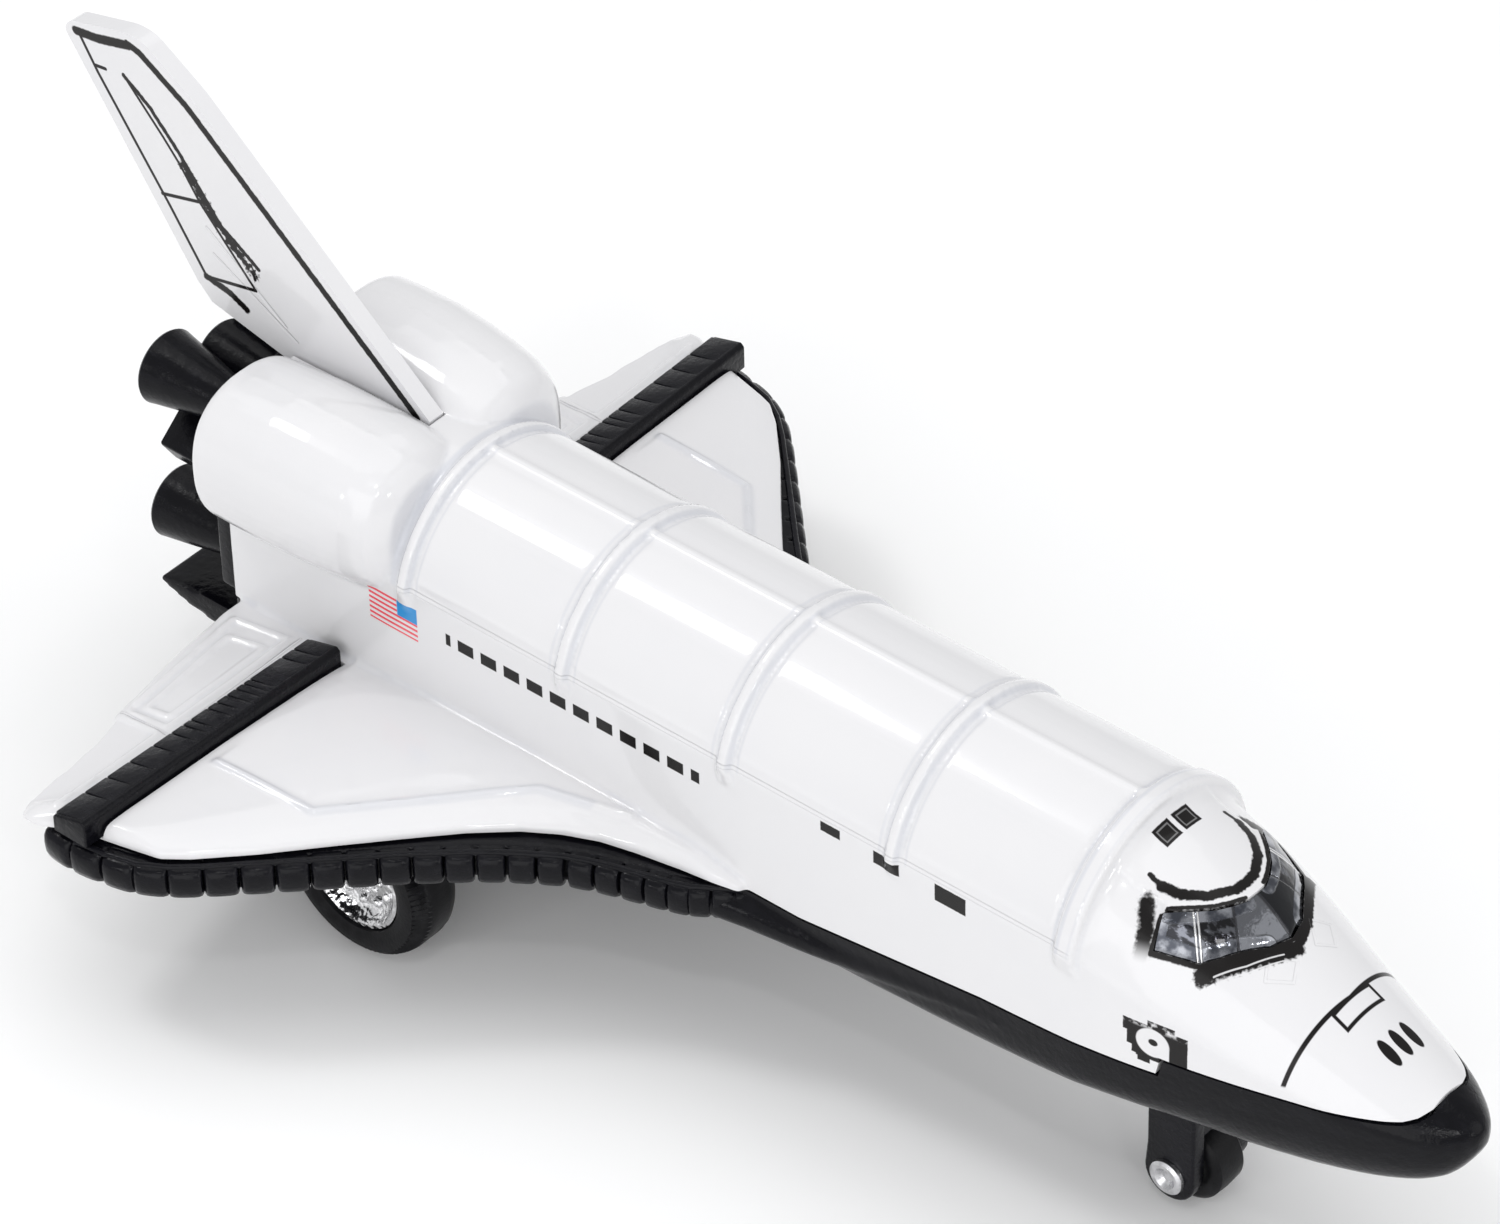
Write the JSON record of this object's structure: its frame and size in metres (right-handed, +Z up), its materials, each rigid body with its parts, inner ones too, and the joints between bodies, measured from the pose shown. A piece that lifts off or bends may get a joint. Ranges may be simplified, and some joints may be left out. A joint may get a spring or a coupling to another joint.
{
  "type": "toy space shuttle",
  "caption": "Small die-cast toy space shuttle with delta wings, a tail fin and rear nozzles, on free-rolling main wheels and a nose wheel.",
  "frame": {"origin": "centre of the footprint of the whole toy's box, on the ground under its wheels", "axes": "+Y runs from the nose towards the tail, so the nose points to -Y; +X is to the right of someone who looks along +Y; +Z is up"},
  "size_m": [0.1122, 0.1984, 0.0848],
  "materials": {
    "white_enamel": "glossy white enamel on die-cast metal",
    "black_plastic": "semi-gloss moulded black plastic",
    "smoked_glazing": "smoky mirrored plastic",
    "motor_case": "satin black motor case",
    "steel": "bright drawn steel",
    "chrome_plating": "bright plated plastic",
    "wheel_black": "soft black vinyl"
  },
  "bodies": {
    "shuttle": {"body_shell": "white_enamel", "tail_fin": "white_enamel", "base_plate": "black_plastic", "engine_insert": "black_plastic", "wing_strip_left": "black_plastic", "wing_strip_right": "black_plastic", "nose_gear_fork": "black_plastic", "cockpit_glazing": "smoked_glazing", "pullback_motor": "motor_case", "nose_pin": "steel"},
    "main_wheels": {"main_axle": "steel", "main_hub_left": "chrome_plating", "main_hub_right": "chrome_plating", "main_tyre_left": "wheel_black", "main_tyre_right": "wheel_black"},
    "nose_wheel": {"nose_wheel": "wheel_black"}
  },
  "joints": [
    {"name": "main_wheels_roll", "type": "hinge", "parent": "shuttle", "child": "main_wheels", "pos_m": [0, 0.0333, 0.0107], "axis": [1, 0, 0], "continuous": true},
    {"name": "nose_wheel_roll", "type": "hinge", "parent": "shuttle", "child": "nose_wheel", "pos_m": [0, -0.0625, 0.005], "axis": [1, 0, 0], "continuous": true}
  ]
}
